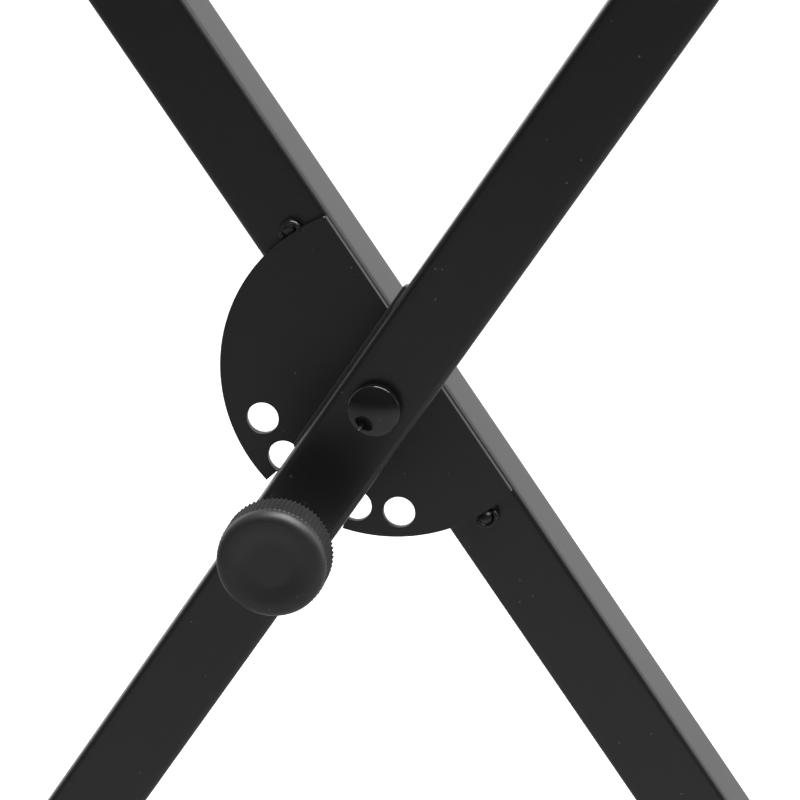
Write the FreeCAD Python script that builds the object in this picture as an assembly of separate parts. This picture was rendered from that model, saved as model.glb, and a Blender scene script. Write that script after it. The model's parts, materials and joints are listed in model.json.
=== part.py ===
import FreeCAD, Part
import math
import os

# Folding keyboard stand: two square-tube legs crossed at one pivot bolt.
# The rear leg carries a locking disc with five seats. A spring-loaded pin in the
# front leg drops into one of them. The pin is modelled drawn out, just clear of the disc.
# X runs across the stand, Y from front (-) to back (+), Z up.
# The origin is on the floor, midway between the feet.
# Lengths are in millimetres, angles in degrees.

# ---------------------------------------------------------------- legs
tube_side = 30.0
tube_wall = 1.5
tube_corner = 1.5
leg_below_pivot = 500.0
leg_above_pivot = 475.0
leg_lean = 34.0

# ---------------------------------------------------------------- pivot stack
disc_thickness = 3.0
spacer_thickness = 4.0
running_gap = 0.3
face_gap = 0.15

# ---------------------------------------------------------------- pivot bolt
bolt_radius = 5.0
bolt_running_fit = 0.05
bolt_chamfer = 1.0
sleeve_wall = 2.0
dome_radius = 9.35
dome_height = 5.7
dome_rim = 3.2
head_washer_inset = 0.75
head_washer_thickness = 1.0
nut_washer_margin = 0.7
nut_washer_thickness = 2.0
pivot_nut_flats = 17.0
pivot_nut_height = 10.0
bolt_end = 3.0
nut_cap_fit = 0.2
nut_cap_room = 0.5
nut_cap_wall = 1.6
nut_cap_top = 3.0

# ---------------------------------------------------------------- locking pin
pin_radius = 5.7
pin_overrun = 2.0
pin_chamfer = 1.2
pin_fit = 0.05
stem_radius = 4.0
stem_chamfer = 0.8
guide_wall = 2.2
guide_flange_step = 0.95
guide_flange_thickness = 1.6
rear_guide_inside = 9.5
front_guide_length = 3.5
seat_washer_lip = 1.9
seat_washer_thickness = 1.5
seat_washer_fit = 0.08
spring_wire = 1.0
spring_stem_gap = 1.6
spring_turns = 4.0
spring_end_gap = 0.1

# ---------------------------------------------------------------- locking disc
seat_circle_radius = 51.0
seat_clearance = 0.3
seat_step = 18.5
round_seats = (-2, -1, 1, 2)
disc_margin = 5.6
disc_rise = 2.3
disc_chord_inset = 0.8
recess_depth = 5.4
recess_half_angle = 15.5
bead_radius = 2.6
bead_half_length = 2.0
bead_proud = 2.2
bead_angles = (180.0, 0.0)

# ---------------------------------------------------------------- spacer plate
spacer_overhang = 1.1
spacer_above = 34.5
spacer_flange_gap = 0.3
spacer_corner = 2.0

# ---------------------------------------------------------------- knob
knob_stand_off = 34.5
knob_radius = 19.5
knob_grip_height = 12.5
knob_brow = 4.5
knob_ribs = 72
knob_rib_depth = 0.7
knob_rim_inset = 0.3
knob_edge_radius = 3.5
knob_dish_margin = 5.0
knob_dish_depth = 1.4
knob_wall = 3.0
knob_face_thickness = 7.0
knob_boss_wall = 2.0
insert_wall = 1.5
insert_cover = 3.6
jam_nut_flats = 13.0
jam_nut_height = 4.0

# ---------------------------------------------------------------- end plates and bars
plate_thickness = 4.0
plate_margin = 3.0
plate_corner = 3.0
plate_bead = 2.5
foot_bar_length = 388.0
arm_bar_length = 340.0

# ---------------------------------------------------------------- bar screws
screw_bead_gap = 2.0
screw_radius = 4.0
screw_clearance = 0.2
screw_chamfer = 0.8
screw_head_radius = 7.0
screw_head_height = 4.4
screw_rim = 0.8
socket_flats = 5.0
socket_depth = 2.4
screw_washer_margin = 1.0
screw_washer_thickness = 1.6
lock_nut_flats = 13.0
lock_nut_height = 8.0
screw_end = 2.0
thread_fit = 0.03
collar_share = 0.25
collar_inset = 0.6
collar_edge = 0.8

# ---------------------------------------------------------------- rubber parts
foot_cap_wall = 2.7
foot_cap_length = 46.0
foot_cap_end = 6.0
foot_cap_edge = 4.0
foot_cap_inner_edge = 1.5
foot_groove_start = 9.0
tread_flat = 10.0
arm_cap_wall = 2.0
arm_cap_length = 32.0
arm_cap_end = 5.0
arm_cap_edge = 1.5
sleeve_rubber = 2.7
sleeve_screw_gap = 11.3
sleeve_cap_gap = 5.0
sleeve_edge = 2.0
sleeve_groove_start = 7.0
groove_width = 2.0
groove_depth = 1.0
groove_pitch = 12.0

# ---------------------------------------------------------------- sizes worked out from those
half_side = tube_side / 2
tube_corner_reach = (half_side - tube_corner) * math.sqrt(2) + tube_corner
seat_radius = pin_radius + seat_clearance
disc_radius = seat_circle_radius + seat_radius + disc_margin
disc_chord_offset = half_side - disc_chord_inset
recess_radius = disc_radius - recess_depth
bolt_bore = bolt_radius + bolt_running_fit
pivot_sleeve_radius = bolt_bore + sleeve_wall
head_washer_radius = dome_radius - head_washer_inset
nut_washer_radius = pivot_nut_flats / math.sqrt(3) + nut_washer_margin
pin_engagement = running_gap + disc_thickness + pin_overrun
rear_guide_radius = pin_radius + pin_fit + guide_wall
front_guide_radius = stem_radius + pin_fit + guide_wall
guide_flange_radius = rear_guide_radius + guide_flange_step
seat_washer_radius = pin_radius + seat_washer_lip
spring_radius = stem_radius + spring_stem_gap + spring_wire / 2
spacer_width = tube_side + 2 * spacer_overhang
spacer_below = seat_circle_radius - guide_flange_radius - spacer_flange_gap
knob_height = knob_grip_height + knob_brow
knob_dish_radius = knob_radius - knob_dish_margin
knob_pocket_radius = knob_radius - knob_wall
knob_pocket_depth = knob_height - knob_face_thickness
insert_radius = stem_radius + insert_wall
insert_length = knob_height - knob_dish_depth - insert_cover
knob_boss_radius = insert_radius + knob_boss_wall
screw_washer_radius = screw_head_radius + screw_washer_margin
screw_offset = half_side + plate_bead + lock_nut_flats / math.sqrt(3) + screw_bead_gap
plate_length = 2 * (screw_offset + screw_washer_radius + plate_margin)
foot_cap_radius = tube_corner_reach + foot_cap_wall
sleeve_radius = tube_corner_reach + sleeve_rubber
arm_cap_side = tube_side + 2 * arm_cap_wall
arm_cap_corner = tube_corner + arm_cap_wall

# ---------------------------------------------------------------- places worked out from the sizes
tube_gap = disc_thickness + running_gap + spacer_thickness
front_leg_y = -(tube_gap + tube_side) / 2
rear_leg_y = (tube_gap + tube_side) / 2
front_leg_face = front_leg_y - half_side
front_leg_back = front_leg_y + half_side
rear_leg_face = rear_leg_y - half_side
rear_leg_back = rear_leg_y + half_side
disc_face = rear_leg_face - disc_thickness
pin_tip = disc_face - running_gap
pin_shoulder = front_leg_back - rear_guide_inside - pin_engagement
seat_washer_front = pin_shoulder - seat_washer_thickness
front_guide_back = front_leg_face + front_guide_length
knob_back = front_leg_face - knob_stand_off
tread_distance = math.sqrt(foot_cap_radius ** 2 - (tread_flat / 2) ** 2)
rest_distance = math.sqrt(sleeve_radius ** 2 - (tread_flat / 2) ** 2)
pivot_height = tread_distance + leg_below_pivot * math.cos(math.radians(leg_lean))
arm_height = pivot_height + leg_above_pivot * math.cos(math.radians(leg_lean))
tube_end_offset = half_side + plate_thickness
sleeve_inner_end = rear_leg_y + screw_offset + screw_washer_radius + sleeve_screw_gap
sleeve_outer_end = arm_bar_length / 2 + arm_cap_end - arm_cap_length - sleeve_cap_gap
sleeve_length = sleeve_outer_end - sleeve_inner_end

ORIGIN = FreeCAD.Vector(0, 0, 0)
ACROSS = FreeCAD.Vector(1, 0, 0)
DEPTH = FreeCAD.Vector(0, 1, 0)
UP = FreeCAD.Vector(0, 0, 1)


# ---------------------------------------------------------------- helpers
def point(x, y, z):
    return FreeCAD.Vector(x, y, z)


def slab(x_range, y_range, z_range):
    """A box between two values along each axis."""
    size = [high - low for low, high in (x_range, y_range, z_range)]
    return Part.makeBox(*size, point(x_range[0], y_range[0], z_range[0]))


def rod(radius, bottom, top):
    """A cylinder on the Z axis."""
    return Part.makeCylinder(radius, top - bottom, point(0, 0, bottom), UP)


def ring(outer, inner, bottom, top):
    return rod(outer, bottom, top).cut(rod(inner, bottom, top))


def rounded_bar(width, height, corner, bottom, top):
    """A prism along Z whose section is a rectangle with round corners."""
    outline = []
    corners = ((1, 1), (-1, 1), (-1, -1), (1, -1))
    previous_end = None
    for number, (sign_x, sign_y) in enumerate(corners + corners[:1]):
        centre = point(sign_x * (width / 2 - corner), sign_y * (height / 2 - corner), bottom)
        start, middle, end = [
            centre + point(math.cos(math.radians(angle)), math.sin(math.radians(angle)), 0) * corner
            for angle in (90 * number, 90 * number + 45, 90 * number + 90)
        ]
        if previous_end:
            outline.append(Part.LineSegment(previous_end, start).toShape())
        if number < len(corners):
            outline.append(Part.Arc(start, middle, end).toShape())
        previous_end = end
    return Part.Face(Part.Wire(outline)).extrude(UP * (top - bottom))


def turned(outline):
    """Revolve a closed outline of (radius, height) corners about Z.

    A corner written as (radius, height, radius, height) is an arc's middle and its end.
    """
    edges = []
    here = point(outline[0][0], 0, outline[0][1])
    for corner in list(outline[1:]) + [outline[0]]:
        there = point(corner[-2], 0, corner[-1])
        if here.isEqual(there, 1e-9):
            continue
        if len(corner) == 4:
            edges.append(Part.Arc(here, point(corner[0], 0, corner[1]), there).toShape())
        else:
            edges.append(Part.LineSegment(here, there).toShape())
        here = there
    return Part.Face(Part.Wire(edges)).revolve(ORIGIN, UP, 360)


def dome_middle(base_radius, height):
    """The radius and height of the point halfway along a spherical dome's profile, from its base."""
    ball = (base_radius ** 2 + height ** 2) / (2 * height)
    half_angle = math.atan2(base_radius, ball - height) / 2
    return ball * math.sin(half_angle), height - ball * (1 - math.cos(half_angle))


def hexagon(flats, bottom, top):
    """A hexagonal prism on the Z axis, with its outer corners turned off at both ends."""
    corner_radius = flats / math.sqrt(3)
    corners = []
    for number in range(7):
        angle = math.radians(60 * number)
        corners.append(point(corner_radius * math.cos(angle), corner_radius * math.sin(angle), bottom))
    prism = Part.Face(Part.makePolygon(corners)).extrude(UP * (top - bottom))
    relief = corner_radius - flats / 2
    barrel = turned([
        (0, bottom),
        (flats / 2, bottom),
        (corner_radius, bottom + relief / 2),
        (corner_radius, top - relief / 2),
        (flats / 2, top),
        (0, top),
    ])
    return prism.common(barrel)


def facing_front(shape, y, z=0.0):
    """Turn a shape built on Z so that its +Z end points at the front, at depth y."""
    return shape.rotated(ORIGIN, ACROSS, 90).translated(point(0, y, z))


def facing_back(shape, y, z=0.0):
    return shape.rotated(ORIGIN, ACROSS, -90).translated(point(0, y, z))


def on_leg(shape, lean):
    """Move a shape from a leg's own frame, pivot at the origin, to the stand."""
    return shape.rotated(ORIGIN, DEPTH, lean).translated(point(0, 0, pivot_height))


def group(shapes):
    return Part.makeCompound([solid for shape in shapes for solid in shape.Solids])


# ---------------------------------------------------------------- square tube
def square_tube(bottom, top):
    outside = rounded_bar(tube_side, tube_side, tube_corner, bottom, top)
    inner_side = tube_side - 2 * tube_wall
    inner_corner = tube_corner - tube_wall
    if inner_corner > 0:
        inside = rounded_bar(inner_side, inner_side, inner_corner, bottom, top)
    else:
        inside = slab((-inner_side / 2, inner_side / 2), (-inner_side / 2, inner_side / 2), (bottom, top))
    return outside.cut(inside)


def leg_tube(leg_y):
    """One leg in its own frame, bored for the pivot sleeve."""
    tube = square_tube(-(leg_below_pivot - tube_end_offset), leg_above_pivot - tube_end_offset)
    bore = facing_back(rod(pivot_sleeve_radius, -tube_side, tube_side), 0)
    return tube.cut(bore).translated(point(0, leg_y, 0))


def pivot_sleeve(leg_y):
    sleeve = ring(pivot_sleeve_radius, bolt_bore, -half_side, half_side)
    return facing_back(sleeve, leg_y)


# ---------------------------------------------------------------- locking disc, in the rear leg's frame
def seat_angle(number):
    """The angle between the legs when the pin is in this seat. Seat 0 is the middle one."""
    return 2 * leg_lean + number * seat_step


def disc_point(radius, angle, y):
    turn = math.radians(angle)
    return point(-radius * math.sin(turn), y, -radius * math.cos(turn))


def disc_sector(inner, outer, middle, half):
    """A sector of the disc between two radii, through the disc's thickness."""
    y = disc_face
    corners = [
        disc_point(inner, middle - half, y),
        disc_point(outer, middle - half, y),
        disc_point(outer, middle + half, y),
        disc_point(inner, middle + half, y),
    ]
    edges = [
        Part.LineSegment(corners[0], corners[1]).toShape(),
        Part.Arc(corners[1], disc_point(outer, middle, y), corners[2]).toShape(),
        Part.LineSegment(corners[2], corners[3]).toShape(),
        Part.Arc(corners[3], disc_point(inner, middle, y), corners[0]).toShape(),
    ]
    return Part.Face(Part.Wire(edges)).extrude(DEPTH * disc_thickness)


def through_disc(radius, centre):
    return Part.makeCylinder(radius, disc_thickness, centre, DEPTH)


def locking_disc():
    """The outline is centred a little above the bolt, the seats on the bolt itself."""
    beyond = 2 * disc_radius
    middle_seat = disc_point(seat_circle_radius, seat_angle(0), 0)
    recess_middle = math.degrees(math.atan2(-middle_seat.x, disc_rise - middle_seat.z))
    disc = through_disc(disc_radius, point(0, disc_face, 0))
    disc = disc.cut(disc_sector(recess_radius, beyond, recess_middle, recess_half_angle))
    disc = disc.translated(UP * disc_rise)
    disc = disc.cut(slab((disc_chord_offset, beyond), (disc_face, rear_leg_face), (-beyond, beyond)))
    disc = disc.cut(through_disc(bolt_bore, point(0, disc_face, 0)))
    for number in (0,) + round_seats:
        centre = disc_point(seat_circle_radius, seat_angle(number), disc_face)
        disc = disc.cut(through_disc(seat_radius, centre))
    mouth = slab(
        (-seat_radius, seat_radius),
        (disc_face, rear_leg_face),
        (-beyond, -seat_circle_radius),
    )
    return disc.cut(mouth.rotated(ORIGIN, DEPTH, seat_angle(0)))


def disc_beads(disc):
    """Two weld beads that follow the disc's rim where it crosses the face of the rear leg."""
    beads = []
    path_radius = disc_radius + bead_proud
    half = math.degrees(bead_half_length / path_radius)
    depth = rear_leg_face - disc_thickness / 2
    reach = 2 * disc_radius
    leg_block = slab((-half_side, half_side), (rear_leg_face, rear_leg_back), (-reach, reach))
    for middle in bead_angles:
        start, crest, end = [
            disc_point(path_radius, middle + turn, depth) + UP * disc_rise for turn in (-half, 0, half)
        ]
        path = Part.Arc(start, crest, end).toShape()
        tangent = path.tangentAt(path.FirstParameter)
        section = Part.Wire(Part.makeCircle(bead_radius, start, tangent))
        bead = Part.Wire(path).makePipeShell([section], True, True)
        for place in (start, end):
            bead = bead.fuse(Part.makeSphere(bead_radius, place))
        beads.append(bead.cut(disc).cut(leg_block))
    return group(beads)


# ---------------------------------------------------------------- pivot bolt
def pivot_bolt():
    """Domed head at the front. Height 0 is the head's underside."""
    shank = (
        head_washer_thickness + face_gap + tube_side + tube_gap + tube_side
        + nut_washer_thickness + pivot_nut_height + bolt_end
    )
    crown = dome_height - dome_rim
    arc_radius, arc_height = dome_middle(dome_radius, crown)
    bolt = turned([
        (0, dome_height),
        (0, -shank),
        (bolt_radius - bolt_chamfer, -shank),
        (bolt_radius, -shank + bolt_chamfer),
        (bolt_radius, 0),
        (dome_radius, 0),
        (dome_radius, dome_rim),
        (arc_radius, dome_rim + arc_height, 0, dome_height),
    ])
    return facing_front(bolt, front_leg_face - face_gap - head_washer_thickness)


def lock_nut(flats, height, bore):
    """A hexagon with a round nylon collar at its far end."""
    shoulder = height * (1 - collar_share)
    collar_radius = flats / 2 - collar_inset
    collar = turned([
        (0, shoulder),
        (collar_radius, shoulder),
        (collar_radius, height - collar_edge),
        (collar_radius - collar_edge, height),
        (0, height),
    ])
    return hexagon(flats, 0, shoulder).fuse(collar).cut(rod(bore, 0, height))


def nut_cap():
    """A domed cap over the pivot nut, open towards the washer."""
    inside = pivot_nut_flats / math.sqrt(3) + nut_cap_fit
    outside = inside + nut_cap_wall
    crown = bolt_end + nut_cap_top
    arc_radius, arc_height = dome_middle(outside, crown)
    shell = turned([
        (0, 0),
        (outside, 0),
        (outside, pivot_nut_height),
        (arc_radius, pivot_nut_height + arc_height, 0, pivot_nut_height + crown),
    ])
    nut_room = rod(inside, 0, pivot_nut_height + nut_cap_room)
    bolt_room = rod(bolt_radius + nut_cap_room, 0, pivot_nut_height + bolt_end + nut_cap_room)
    return shell.cut(nut_room).cut(bolt_room)


# ---------------------------------------------------------------- locking pin, along -Y from the disc
def rear_guide():
    """A flanged bush in the front leg's rear wall. Height 0 is the flange's outer face."""
    bore = pin_radius + pin_fit
    length = guide_flange_thickness + rear_guide_inside
    bush = rod(rear_guide_radius, -length, 0).fuse(rod(guide_flange_radius, -guide_flange_thickness, 0))
    return facing_back(bush.cut(rod(bore, -length, 0)), front_leg_back + guide_flange_thickness)


def front_guide():
    bush = ring(front_guide_radius, stem_radius + pin_fit, -front_guide_length, 0)
    return facing_front(bush, front_leg_face)


def lock_pin():
    """A stepped pin: a thick end for the seats and a slim stem out to the knob."""
    thick = pin_tip - pin_shoulder
    stem_end = pin_tip - knob_back + insert_length
    pin = turned([
        (0, 0),
        (pin_radius - pin_chamfer, 0),
        (pin_radius, pin_chamfer),
        (pin_radius, thick),
        (stem_radius, thick),
        (stem_radius, stem_end - stem_chamfer),
        (stem_radius - stem_chamfer, stem_end),
        (0, stem_end),
    ])
    return facing_front(pin, pin_tip)


def seat_washer():
    washer = ring(seat_washer_radius, stem_radius + seat_washer_fit, 0, seat_washer_thickness)
    return facing_front(washer, pin_shoulder)


def lock_spring():
    """An open coil between the front guide and the seat washer."""
    room = seat_washer_front - front_guide_back
    rise = room - spring_wire - 2 * spring_end_gap
    helix = Part.makeHelix(rise / spring_turns, rise, spring_radius)
    start = helix.Edges[0].valueAt(helix.Edges[0].FirstParameter)
    tangent = helix.Edges[0].tangentAt(helix.Edges[0].FirstParameter)
    section = Part.Circle(start, tangent, spring_wire / 2)
    halves = [Part.Arc(section, turn, turn + math.pi).toShape() for turn in (0, math.pi)]
    coil = Part.Wire(helix.Edges).makePipeShell([Part.Wire(halves)], True, True)
    lift = spring_wire / 2 + spring_end_gap
    return facing_front(coil.translated(point(0, 0, lift)), seat_washer_front)


# ---------------------------------------------------------------- knob
def knob_grip():
    """The ribbed ring: a star-shaped outline, one crest for each rib."""
    corners = []
    for number in range(2 * knob_ribs + 1):
        angle = math.pi * number / knob_ribs
        radius = knob_radius - (number % 2) * knob_rib_depth
        corners.append(point(radius * math.cos(angle), radius * math.sin(angle), 0))
    return Part.Face(Part.makePolygon(corners)).extrude(UP * knob_grip_height)


def knob_crown():
    """The smooth front of the knob: a rounded edge round a shallow dish."""
    edge = knob_edge_radius
    rim = knob_radius - knob_rim_inset
    arc = edge * math.sqrt(0.5)
    ball = (knob_dish_radius ** 2 + knob_dish_depth ** 2) / (2 * knob_dish_depth)
    half_way = knob_dish_radius / 2
    sag = ball - math.sqrt(ball ** 2 - half_way ** 2)
    return turned([
        (0, 0),
        (rim - knob_rib_depth, 0),
        (rim - knob_rib_depth, knob_grip_height),
        (rim, knob_grip_height),
        (rim, knob_height - edge),
        (rim - edge + arc, knob_height - edge + arc, rim - edge, knob_height),
        (knob_dish_radius, knob_height),
        (half_way, knob_height - knob_dish_depth + sag, 0, knob_height - knob_dish_depth),
    ])


def knob():
    body = knob_crown().fuse(knob_grip())
    pocket = ring(knob_pocket_radius, knob_boss_radius, 0, knob_pocket_depth)
    body = body.cut(pocket).cut(rod(insert_radius, 0, insert_length))
    return facing_front(body, knob_back)


def knob_insert():
    return facing_front(ring(insert_radius, stem_radius, 0, insert_length), knob_back)


def jam_nut():
    nut = hexagon(jam_nut_flats, -jam_nut_height, 0).cut(rod(stem_radius, -jam_nut_height, 0))
    return facing_front(nut, knob_back)


# ---------------------------------------------------------------- leg ends, in a frame where +Z points outwards
def end_plate(reach):
    """The plate that closes a leg's end and carries the bar."""
    outer = reach - half_side
    plate = rounded_bar(tube_side, plate_length, plate_corner, outer - plate_thickness, outer)
    for side in (-1, 1):
        hole = rod(screw_radius + screw_clearance, outer - plate_thickness, outer)
        plate = plate.cut(hole.translated(point(0, side * screw_offset, 0)))
    return plate


def plate_beads(reach):
    """Fillet welds between the leg and its plate, across the leg's front and rear faces."""
    seat = reach - tube_end_offset
    half = half_side - tube_corner
    beads = []
    for side in (-1, 1):
        wall = side * half_side
        corners = [
            point(-half, wall, seat),
            point(-half, wall + side * plate_bead, seat),
            point(-half, wall, seat - plate_bead),
            point(-half, wall, seat),
        ]
        beads.append(Part.Face(Part.makePolygon(corners)).extrude(ACROSS * (2 * half)))
    return beads


def bar(reach, length, leg_y):
    """A bar along Y across the end of a leg, bored for its two screws."""
    tube = square_tube(-length / 2, length / 2).rotated(ORIGIN, ACROSS, -90).translated(point(0, 0, reach))
    for side in (-1, 1):
        hole = rod(screw_radius + screw_clearance, reach - tube_side, reach + tube_side)
        tube = tube.cut(hole.translated(point(0, leg_y + side * screw_offset, 0)))
    return tube


def bar_screw():
    """A button-head screw. Height 0 is the head's underside, the shank points down."""
    shank = screw_washer_thickness + tube_side + plate_thickness + lock_nut_height + screw_end
    crown = screw_head_height - screw_rim
    socket_floor = screw_head_height - socket_depth
    arc_radius, arc_height = dome_middle(screw_head_radius, crown)
    screw = turned([
        (0, -shank),
        (screw_radius - screw_chamfer, -shank),
        (screw_radius, -shank + screw_chamfer),
        (screw_radius, 0),
        (screw_head_radius, 0),
        (screw_head_radius, screw_rim),
        (arc_radius, screw_rim + arc_height, 0, screw_head_height),
    ])
    return screw.cut(hexagon(socket_flats, socket_floor, screw_head_height + socket_flats))


def screw_places(leg_y, z):
    return [point(0, leg_y + side * screw_offset, z) for side in (-1, 1)]


def bar_screws(reach, leg_y):
    seat = reach + half_side + screw_washer_thickness
    return [bar_screw().translated(place) for place in screw_places(leg_y, seat)]


def bar_washers(reach, leg_y):
    seat = reach + half_side
    washer = ring(screw_washer_radius, screw_radius + screw_clearance, 0, screw_washer_thickness)
    return [washer.translated(place) for place in screw_places(leg_y, seat)]


def bar_nuts(reach, leg_y):
    seat = reach - tube_end_offset
    nut = lock_nut(lock_nut_flats, lock_nut_height, screw_radius + thread_fit)
    nut = nut.rotated(ORIGIN, ACROSS, 180)
    return [nut.translated(place) for place in screw_places(leg_y, seat)]


# ---------------------------------------------------------------- rubber parts
def bar_core(reach, low, high):
    """The space that a bar fills between two depths."""
    core = rounded_bar(tube_side, tube_side, tube_corner, low, high)
    return core.rotated(ORIGIN, ACROSS, -90).translated(point(0, 0, reach))


def round_rubber(radius, length, edges, first_groove, last_groove):
    """A turned rubber block on Z from 0, with an edge radius at each end and ring grooves."""
    block = rod(radius, 0, length)
    low_edge, high_edge = edges
    for height, edge_radius in ((0, low_edge), (length, high_edge)):
        rims = [edge for edge in block.Edges if abs(edge.BoundBox.ZMin - height) < 1e-6
                and abs(edge.BoundBox.ZMax - height) < 1e-6]
        block = block.makeFillet(edge_radius, rims)
    count = int((last_groove - first_groove) // groove_pitch) + 1
    for number in range(count):
        low = first_groove + number * groove_pitch - groove_width / 2
        block = block.cut(ring(radius, radius - groove_depth, low, low + groove_width))
    return block


def foot_cap(end):
    """A round cap over one end of a foot bar. The end is -1 at the front, 1 at the back."""
    block = round_rubber(
        foot_cap_radius,
        foot_cap_length,
        (foot_cap_inner_edge, foot_cap_edge),
        foot_groove_start,
        foot_cap_length - foot_cap_edge - groove_pitch / 2,
    )
    outer_end = foot_bar_length / 2 + foot_cap_end
    turn = -90 if end > 0 else 90
    block = block.rotated(ORIGIN, ACROSS, turn)
    block = block.translated(point(0, end * (outer_end - foot_cap_length), leg_below_pivot))
    return block.cut(bar_core(leg_below_pivot, -foot_bar_length / 2, foot_bar_length / 2))


def arm_sleeve(end):
    block = round_rubber(
        sleeve_radius,
        sleeve_length,
        (sleeve_edge, sleeve_edge),
        sleeve_groove_start,
        sleeve_length - groove_pitch / 2,
    )
    turn = -90 if end > 0 else 90
    block = block.rotated(ORIGIN, ACROSS, turn)
    block = block.translated(point(0, end * sleeve_inner_end, leg_above_pivot))
    return block.cut(bar_core(leg_above_pivot, -arm_bar_length / 2, arm_bar_length / 2))


def arm_cap(end):
    """A square cap over one end of an arm bar."""
    block = rounded_bar(arm_cap_side, arm_cap_side, arm_cap_corner, 0, arm_cap_length)
    rims = [edge for edge in block.Edges if edge.BoundBox.ZMin > arm_cap_length - 1e-6]
    block = block.makeFillet(arm_cap_edge, rims)
    outer_end = arm_bar_length / 2 + arm_cap_end
    turn = -90 if end > 0 else 90
    block = block.rotated(ORIGIN, ACROSS, turn)
    block = block.translated(point(0, end * (outer_end - arm_cap_length), leg_above_pivot))
    return block.cut(bar_core(leg_above_pivot, -arm_bar_length / 2, arm_bar_length / 2))


def flat_tread(cap):
    """Level a foot cap where it stands, with the stand's floor at Z 0."""
    reach = leg_below_pivot
    return cap.cut(slab((-reach, reach), (-reach, reach), (-reach, 0)))


def flat_rest(sleeve):
    """Level a sleeve where a keyboard lies on it."""
    reach = leg_above_pivot
    top = arm_height + rest_distance
    return sleeve.cut(slab((-reach, reach), (-reach, reach), (top, top + reach)))


# ---------------------------------------------------------------- assembly
nodes = {}


def leg_assembly(name, lean, leg_y):
    """Everything fixed to the two ends of one leg."""
    def foot(shape):
        return on_leg(shape.rotated(ORIGIN, DEPTH, 180), lean)

    def arm(shape):
        return on_leg(shape, lean)

    below = leg_below_pivot
    above = leg_above_pivot
    nodes[name + "_foot_plate"] = foot(end_plate(below).translated(point(0, leg_y, 0)))
    nodes[name + "_arm_plate"] = arm(end_plate(above).translated(point(0, leg_y, 0)))
    beads = [foot(bead.translated(point(0, leg_y, 0))) for bead in plate_beads(below)]
    beads += [arm(bead.translated(point(0, leg_y, 0))) for bead in plate_beads(above)]
    nodes[name + "_weld_beads"] = group(beads)
    nodes[name + "_foot_bar"] = foot(bar(below, foot_bar_length, leg_y))
    nodes[name + "_arm_bar"] = arm(bar(above, arm_bar_length, leg_y))
    for part, make in (("screws", bar_screws), ("washers", bar_washers), ("nuts", bar_nuts)):
        nodes[name + "_foot_" + part] = group([foot(piece) for piece in make(below, leg_y)])
        nodes[name + "_arm_" + part] = group([arm(piece) for piece in make(above, leg_y)])
    for place, end in (("front", -1), ("back", 1)):
        nodes[name + "_foot_cap_" + place] = flat_tread(foot(foot_cap(end)))
        nodes[name + "_arm_cap_" + place] = arm(arm_cap(end))
        nodes[name + "_arm_sleeve_" + place] = flat_rest(arm(arm_sleeve(end)))


def rear_leg():
    """The rear leg with its disc, and the pivot bolt that is clamped to it."""
    tube = leg_tube(rear_leg_y)
    disc = locking_disc()
    stack_back = rear_leg_back + nut_washer_thickness
    nodes["rear_leg_tube"] = on_leg(tube, -leg_lean)
    nodes["rear_pivot_sleeve"] = on_leg(pivot_sleeve(rear_leg_y), -leg_lean)
    nodes["locking_disc"] = on_leg(disc, -leg_lean)
    nodes["disc_weld_beads"] = on_leg(disc_beads(disc), -leg_lean)
    nodes["pivot_bolt"] = on_leg(pivot_bolt(), -leg_lean)
    head_washer = ring(head_washer_radius, bolt_radius + thread_fit, 0, head_washer_thickness)
    nodes["pivot_head_washer"] = on_leg(facing_front(head_washer, front_leg_face - face_gap), -leg_lean)
    nut_washer = ring(nut_washer_radius, bolt_radius + thread_fit, 0, nut_washer_thickness)
    nodes["pivot_nut_washer"] = on_leg(facing_back(nut_washer, rear_leg_back), -leg_lean)
    nut = lock_nut(pivot_nut_flats, pivot_nut_height, bolt_radius + thread_fit)
    nodes["pivot_nut"] = on_leg(facing_back(nut, stack_back), -leg_lean)
    nodes["pivot_nut_cap"] = on_leg(facing_back(nut_cap(), stack_back), -leg_lean)
    leg_assembly("rear", -leg_lean, rear_leg_y)


def spacer_plate():
    height = spacer_above + spacer_below
    plate = rounded_bar(spacer_width, height, spacer_corner, 0, spacer_thickness)
    plate = plate.translated(point(0, (spacer_below - spacer_above) / 2, 0))
    plate = plate.cut(rod(bolt_bore, 0, spacer_thickness))
    return facing_back(plate, front_leg_back)


def front_leg():
    """The front leg with the guides of the locking pin."""
    tube = leg_tube(front_leg_y)
    seat = -seat_circle_radius
    front_hole = facing_front(rod(front_guide_radius, -half_side, 0), front_leg_face, seat)
    rear_hole = facing_back(rod(rear_guide_radius, -half_side, 0), front_leg_back, seat)
    at_seat = point(0, 0, seat)
    nodes["front_leg_tube"] = on_leg(tube.cut(front_hole).cut(rear_hole), leg_lean)
    nodes["front_pivot_sleeve"] = on_leg(pivot_sleeve(front_leg_y), leg_lean)
    nodes["spacer_plate"] = on_leg(spacer_plate(), leg_lean)
    nodes["pin_front_guide"] = on_leg(front_guide().translated(at_seat), leg_lean)
    nodes["pin_rear_guide"] = on_leg(rear_guide().translated(at_seat), leg_lean)
    nodes["lock_spring"] = on_leg(lock_spring().translated(at_seat), leg_lean)
    nodes["spring_seat_washer"] = on_leg(seat_washer().translated(at_seat), leg_lean)
    nodes["lock_pin"] = on_leg(lock_pin().translated(at_seat), leg_lean)
    nodes["knob"] = on_leg(knob().translated(at_seat), leg_lean)
    nodes["knob_insert"] = on_leg(knob_insert().translated(at_seat), leg_lean)
    nodes["knob_jam_nut"] = on_leg(jam_nut().translated(at_seat), leg_lean)
    leg_assembly("front", leg_lean, front_leg_y)


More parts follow.
